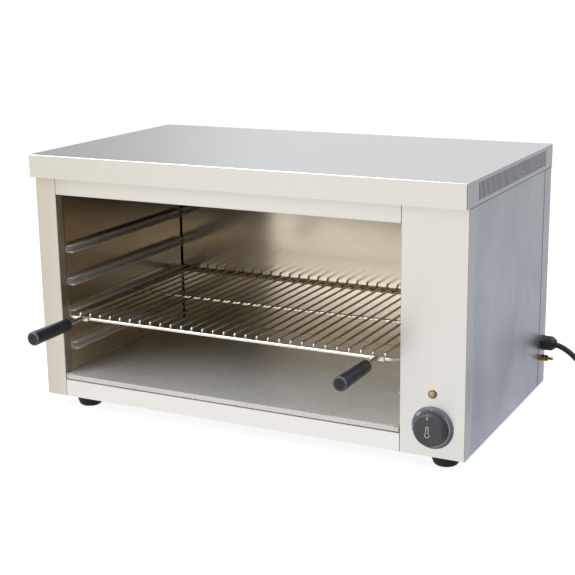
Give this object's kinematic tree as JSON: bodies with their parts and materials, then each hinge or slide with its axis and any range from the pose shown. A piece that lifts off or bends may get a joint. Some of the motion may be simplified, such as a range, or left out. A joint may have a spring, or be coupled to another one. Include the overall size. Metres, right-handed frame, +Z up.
{
  "type": "cheese melter",
  "caption": "Open-fronted countertop grill with roof heaters, a sliding wire rack on side rails, a crumb tray and a side control panel.",
  "frame": {"origin": "under the middle of the whole object without its cord, on the surface that the feet stand on", "axes": "+X to the right seen from the front, +Y to the back, +Z up"},
  "size_m": [1.0683, 0.5866, 0.465],
  "materials": {
    "casing_steel": "brushed",
    "cavity_steel": "brushed",
    "base_steel": "galvanised",
    "rack_chrome": "polished",
    "grip_plastic": "moulded",
    "dial_plastic": "moulded",
    "lamp_ring": "satin",
    "lamp_lens": "glossy",
    "foot_rubber": "moulded",
    "cord_rubber": "extruded",
    "gland_nylon": "moulded",
    "terminal_brass": "machined",
    "plug_nickel": "plated",
    "zinc_steel": "zinc plated",
    "heater_sheath": "oxidised",
    "terminal_ceramic": "glazed",
    "thermostat_case": "moulded",
    "copper_tube": "drawn",
    "mineral_board": "felted"
  },
  "bodies": {
    "cabinet": {"top_lid": "casing_steel", "left_side_shell": "casing_steel", "control_panel": "casing_steel", "right_side_panel": "casing_steel", "rear_panel": "casing_steel", "upper_front_rail": "casing_steel", "front_sill": "casing_steel", "left_liner": "cavity_steel", "right_liner": "cavity_steel", "rear_liner": "cavity_steel", "floor_liner": "cavity_steel", "ceiling_reflector": "cavity_steel", "rack_rails_left": "cavity_steel", "rack_rails_right": "cavity_steel", "element_hanger": "cavity_steel", "base_pan": "base_steel", "dial_bezel": "dial_plastic", "pilot_lamp_body": "lamp_ring", "pilot_lamp_lens": "lamp_lens", "foot_front_left": "foot_rubber", "foot_front_right": "foot_rubber", "foot_rear_left": "foot_rubber", "foot_rear_right": "foot_rubber", "mains_cord": "cord_rubber", "cord_coil": "cord_rubber", "plug_body": "cord_rubber", "internal_wires": "cord_rubber", "gland_body": "gland_nylon", "gland_dome_nut": "gland_nylon", "gland_lock_nut": "gland_nylon", "bonding_stud": "terminal_brass", "bonding_nuts": "terminal_brass", "element_bushes": "terminal_brass", "plug_pins": "plug_nickel", "back_screws": "zinc_steel", "foot_screws": "zinc_steel", "foot_nuts": "zinc_steel", "thermostat_nut": "zinc_steel", "pilot_lamp_nut": "zinc_steel", "element_straps": "zinc_steel", "bulb_clips": "zinc_steel", "heating_element_1": "heater_sheath", "heating_element_2": "heater_sheath", "heating_element_3": "heater_sheath", "element_terminals": "terminal_ceramic", "terminal_block": "terminal_ceramic", "thermostat_body": "thermostat_case", "thermostat_capillary": "copper_tube", "thermostat_bulb": "copper_tube", "insulation_board": "mineral_board"},
    "sliding_rack": {"wire_rack": "rack_chrome", "handle_brackets": "rack_chrome", "handle_stems": "rack_chrome", "handle_grip_left": "grip_plastic", "handle_grip_right": "grip_plastic", "grip_end_cap_left": "grip_plastic", "grip_end_cap_right": "grip_plastic"},
    "tray": {"crumb_tray": "cavity_steel"},
    "dial": {"control_knob": "dial_plastic", "thermostat_spindle": "zinc_steel"}
  },
  "joints": [
    {"name": "rack_slide", "type": "slide", "parent": "cabinet", "child": "sliding_rack", "axis": [0, -1, 0], "range_m": [0, 0.42]},
    {"name": "crumb_tray_slide", "type": "slide", "parent": "cabinet", "child": "tray", "axis": [0, -1, 0], "range_m": [0, 0.43]},
    {"name": "knob_turn", "type": "hinge", "parent": "cabinet", "child": "dial", "pos_m": [0.3347, -0.1639, 0.073], "axis": [0, 1, 0], "range_deg": [0, 270]}
  ]
}
